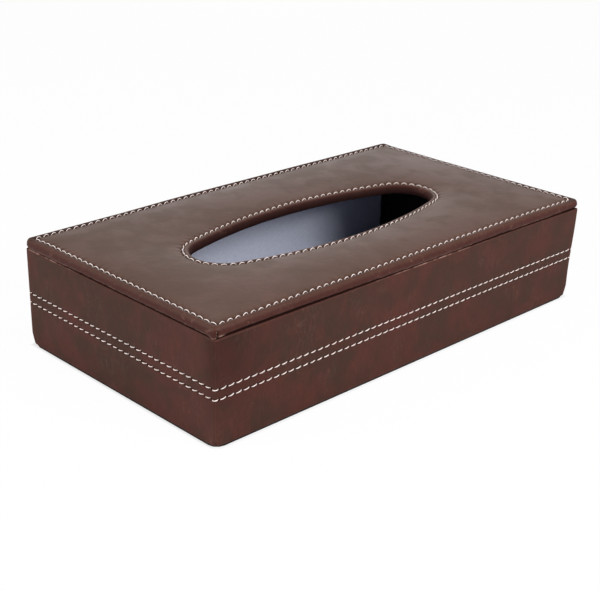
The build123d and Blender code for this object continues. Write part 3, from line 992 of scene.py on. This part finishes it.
def leather(name, marks, tones, grain_turn, grain_stretch, gloss, shine):
    """Waxed leather. It mottles between a base, a warm and an olive tone, with flecks of red. Where the
    mark wear_and_highlight is 1 it takes the edge tone, above 1 it turns light, as scuffed leather and as a
    painted highlight, and the mark seam darkens it with painted shade."""
    material, tree, shader, place = principled(name, IOR=1.45, Specular_IOR_Level=shine)
    turned = run(tree, "ShaderNodeMapping", {"Rotation": (0, 0, grain_turn), "Vector": place})
    inputs = {"Vector": turned, "Grain Stretch": grain_stretch}
    used = run(tree, "ShaderNodeGroup", inputs, None, node_tree=marks)
    grain, patches, mottle, flecks, creases, scuffs = used.outputs
    wear_and_highlight, seam = (
        run(tree, "ShaderNodeAttribute", output="Fac", attribute_name=mark) for mark in ("wear_and_highlight", "seam")
    )
    tone = mix(tree, patches, tones["warm"], tones["olive"])
    for share, colour in (
        (product(tree, mottle, 0.6), tones["base"]),
        (wear_and_highlight, tones["edge"]),
        (product(tree, flecks, maths(tree, "MULTIPLY_ADD", wear_and_highlight, 0.35, 0.3)), tones["red"]),
        (product(tree, scuffs, 0.06), RUBBED_AND_HIGHLIGHT_TONE),
        # above 1 the mark lightens the leather: scuffing, and painted highlights along the lid's lip, on its
        # corner fold and above the base edge
        (maths(tree, "SUBTRACT", wear_and_highlight, 1.0), RUBBED_AND_HIGHLIGHT_TONE),
    ):
        tone = mix(tree, share, tone, colour)
    tone = mix(tree, 1.0, tone, maths(tree, "MULTIPLY_ADD", creases, 0.16, 0.92), "MULTIPLY")
    # painted shade: the mark seam darkens the leather towards SEAM_SHADOW
    tone = mix(tree, product(tree, seam, 0.82), tone, SEAM_SHADOW)
    surface(tree, shader, tone, grain, 0.16 * MM)
    rough = gloss
    for mark, share in ((patches, 0.07), (creases, 0.06), (seam, 0.4)):
        rough = maths(tree, "MULTIPLY_ADD", mark, share, rough)
    tree.links.new(rough, shader.inputs["Roughness"])
    return material


def thread_material():
    """Cream waxed thread with fine fibres."""
    material, tree, shader, place = principled("cream_thread", Roughness=0.6, Sheen_Weight=0.15)
    tint = stretch(tree, noise(tree, place, scale=90.0, detail=2.0), 0.3, 0.7)
    colour = mix(tree, tint, (0.97, 0.82, 0.77), (0.99, 0.89, 0.85))
    surface(tree, shader, colour, noise(tree, place, scale=3000.0, detail=2.0), 0.05 * MM)
    return material


def cloth(name, colour, darker, rough):
    """Close lining cloth, felt or foam: a fine uneven nap."""
    material, tree, shader, place = principled(name, Roughness=rough, Specular_IOR_Level=0.2)
    nap = noise(tree, place, scale=900.0, roughness=0.6)
    surface(tree, shader, mix(tree, stretch(tree, nap, 0.3, 0.7), darker, colour), nap, 0.1 * MM)
    return material


def fibreboard():
    """Bare fibreboard: fine pressed fibres, lying flat."""
    material, tree, shader, place = principled("fibreboard", Roughness=0.85)
    flattened = run(tree, "ShaderNodeMapping", {"Vector": place, "Scale": (1.0, 1.0, 3.0)})
    fibres = noise(tree, flattened, scale=700.0, detail=5.0, roughness=0.7)
    colour = mix(tree, fibres, (0.30, 0.19, 0.11), (0.44, 0.31, 0.20))
    surface(tree, shader, colour, fibres, 0.1 * MM)
    return material


def nickel():
    """Plated magnets."""
    material, tree, shader, place = principled("nickel", Metallic=1.0, Roughness=0.3)
    tint = noise(tree, place, scale=500.0, detail=2.0)
    tree.links.new(mix(tree, tint, (0.55, 0.54, 0.52), (0.68, 0.67, 0.65)), shader.inputs["Base Color"])
    return material


def dress_nodes(materials):
    """Gives each CAD node its finish, by the record's material slot."""
    for part in frame["record"]["subparts"]:
        mesh = frame["nodes"][part["node"]].data
        mesh.materials.clear()
        mesh.materials.append(materials[part["material_slot"]])


# ---- stage

CAMERA_PLACE = Vector((-0.42021, -0.42118, 0.26596))
CAMERA_AZIMUTH = -44.257
CAMERA_ELEVATION = 23.037
CAMERA_ROLL = math.radians(1.16)
CAMERA_LENS = 75.3

FLOOR_HALF = 3.0
SOFT_LIGHT = 0.19

# Name, azimuth, elevation, distance, size, and what the lamp adds to a white surface that faces it
LAMPS = (
    ("front_softbox", 5, 36, 0.85, 0.33, 0.79),
    ("left_softbox", -105, 28, 1.2, 0.7, 0.68),
    ("back_softbox", 138, 13, 1.0, 0.45, 0.036),
    ("overhead_softbox", -10, 78, 1.3, 0.9, 0.075),
)


def towards(azimuth, elevation):
    """Direction from the box to something seen at an azimuth from the front and an elevation."""
    a, e = math.radians(azimuth), math.radians(elevation)
    return Vector((math.sin(a) * math.cos(e), -math.cos(a) * math.cos(e), math.sin(e)))


def camera():
    """The photograph's viewing angle."""
    a = math.radians(CAMERA_AZIMUTH)
    back = towards(CAMERA_AZIMUTH, CAMERA_ELEVATION)
    right = Vector((math.cos(a), math.sin(a), 0))
    up = back.cross(right)
    turned_right = right * math.cos(CAMERA_ROLL) + up * math.sin(CAMERA_ROLL)
    turned_up = up * math.cos(CAMERA_ROLL) - right * math.sin(CAMERA_ROLL)
    data = bpy.data.cameras.new("camera")
    data.lens = CAMERA_LENS
    data.clip_start = 0.01
    made = put("camera", data)
    rotation = Matrix((turned_right, turned_up, back)).transposed().to_4x4()
    made.matrix_world = Matrix.Translation(CAMERA_PLACE) @ rotation
    bpy.context.scene.camera = made


def cleared(owner):
    """The empty node tree of a material or a world."""
    owner.use_nodes = True
    owner.node_tree.nodes.clear()
    return owner.node_tree


def blend_out(tree, share, first, second, end):
    """Mixes two shaders by a share and links them to the tree's end."""
    mixed = run(tree, "ShaderNodeMixShader", {0: share, 1: first, 2: second})
    run(tree, end, {"Surface": mixed}, None)


def floor():
    """Plain white floor that keeps the box's shadow, most of it close to the box."""
    corners = [(x * FLOOR_HALF, y * FLOOR_HALF, 0) for x, y in ((-1, -1), (1, -1), (1, 1), (-1, 1))]
    material = bpy.data.materials.new("floor")
    made = put("floor", new_mesh("floor", corners, [(0, 1, 2, 3)]), material)
    tree = cleared(material)
    matt = run(tree, "ShaderNodeBsdfDiffuse", {"Color": (0.9, 0.9, 0.9, 1)})
    glow = run(tree, "ShaderNodeEmission", {"Color": (1, 1, 1, 1), "Strength": 1.0})
    direct = run(tree, "ShaderNodeLightPath", output="Is Camera Ray")
    place = run(tree, "ShaderNodeTexCoord", output="Object")
    beyond = vectors(tree, "SUBTRACT", vectors(tree, "ABSOLUTE", place), BOX_HIGH)
    distance = vectors(tree, "LENGTH", vectors(tree, "MAXIMUM", beyond, (0, 0, 0)), output="Value")
    away = stretch(tree, distance, -1 * MM, 1.6 * MM)
    share = maths(tree, "MULTIPLY", direct, maths(tree, "MULTIPLY_ADD", away, 0.5, 0.47))
    blend_out(tree, share, matt, glow, "ShaderNodeOutputMaterial")


def world():
    """Soft even light, and a white background."""
    made = bpy.data.worlds.new("studio")
    bpy.context.scene.world = made
    tree = cleared(made)
    soft = run(tree, "ShaderNodeBackground", {"Color": (0.96, 0.98, 1.0, 1), "Strength": SOFT_LIGHT})
    white = run(tree, "ShaderNodeBackground", {"Color": (1, 1, 1, 1)})
    path = run(tree, "ShaderNodeLightPath", output=None).outputs
    direct = maths(tree, "MAXIMUM", path["Is Camera Ray"], path["Is Glossy Ray"])
    direct = maths(tree, "MAXIMUM", direct, path["Is Transmission Ray"])
    blend_out(tree, direct, soft, white, "ShaderNodeOutputWorld")


def lamp(name, azimuth, elevation, distance, size, light):
    """A square soft lamp that faces the box."""
    direction = towards(azimuth, elevation)
    data = bpy.data.lights.new(name, "AREA")
    data.size = size
    data.energy = light * math.pi**2 * distance**2
    made = put(name, data)
    made.location = direction * distance
    made.rotation_euler = direction.to_track_quat("Z", "Y").to_euler()


def main():
    marks = leather_group()
    side = leather("side_leather", marks, SIDE_TONES, grain_turn=0.0, grain_stretch=(1.0, 1.0, 0.45),
                   gloss=0.46, shine=0.13)
    top = leather("lid_leather", marks, LID_TONES, grain_turn=math.radians(44), grain_stretch=(0.5, 1.1, 1.0),
                  gloss=0.35, shine=0.14)
    foam = cloth("padding", (0.55, 0.53, 0.5), (0.45, 0.43, 0.4), 0.9)
    felt = cloth("base_sheet", (0.020, 0.018, 0.017), (0.008, 0.007, 0.007), 0.95)
    dress_nodes({
        "side_leather": side,
        "lid_leather": top,
        "fibreboard": fibreboard(),
        "padding": foam,
        "lining": cloth("lining", (0.575, 0.595, 0.70), (0.515, 0.535, 0.635), 0.8),
        # painted shade: the end walls take a near black lining, where the same pale lining lies in shade
        "end_lining": cloth("end_lining", (0.014, 0.014, 0.016), (0.008, 0.008, 0.009), 0.95),
        "base_sheet": felt,
        "magnet": nickel(),
    })
    camera()
    floor()
    world()
    for values in LAMPS:
        lamp(*values)
    lid_edge(top)
    lid_top(top)
    lid_foam(foam)
    side_cover(side)
    base_felt(felt)
    hinge_strip(side)
    sew_all(thread_material())
    bpy.context.scene.view_settings.view_transform = "Standard"


main()
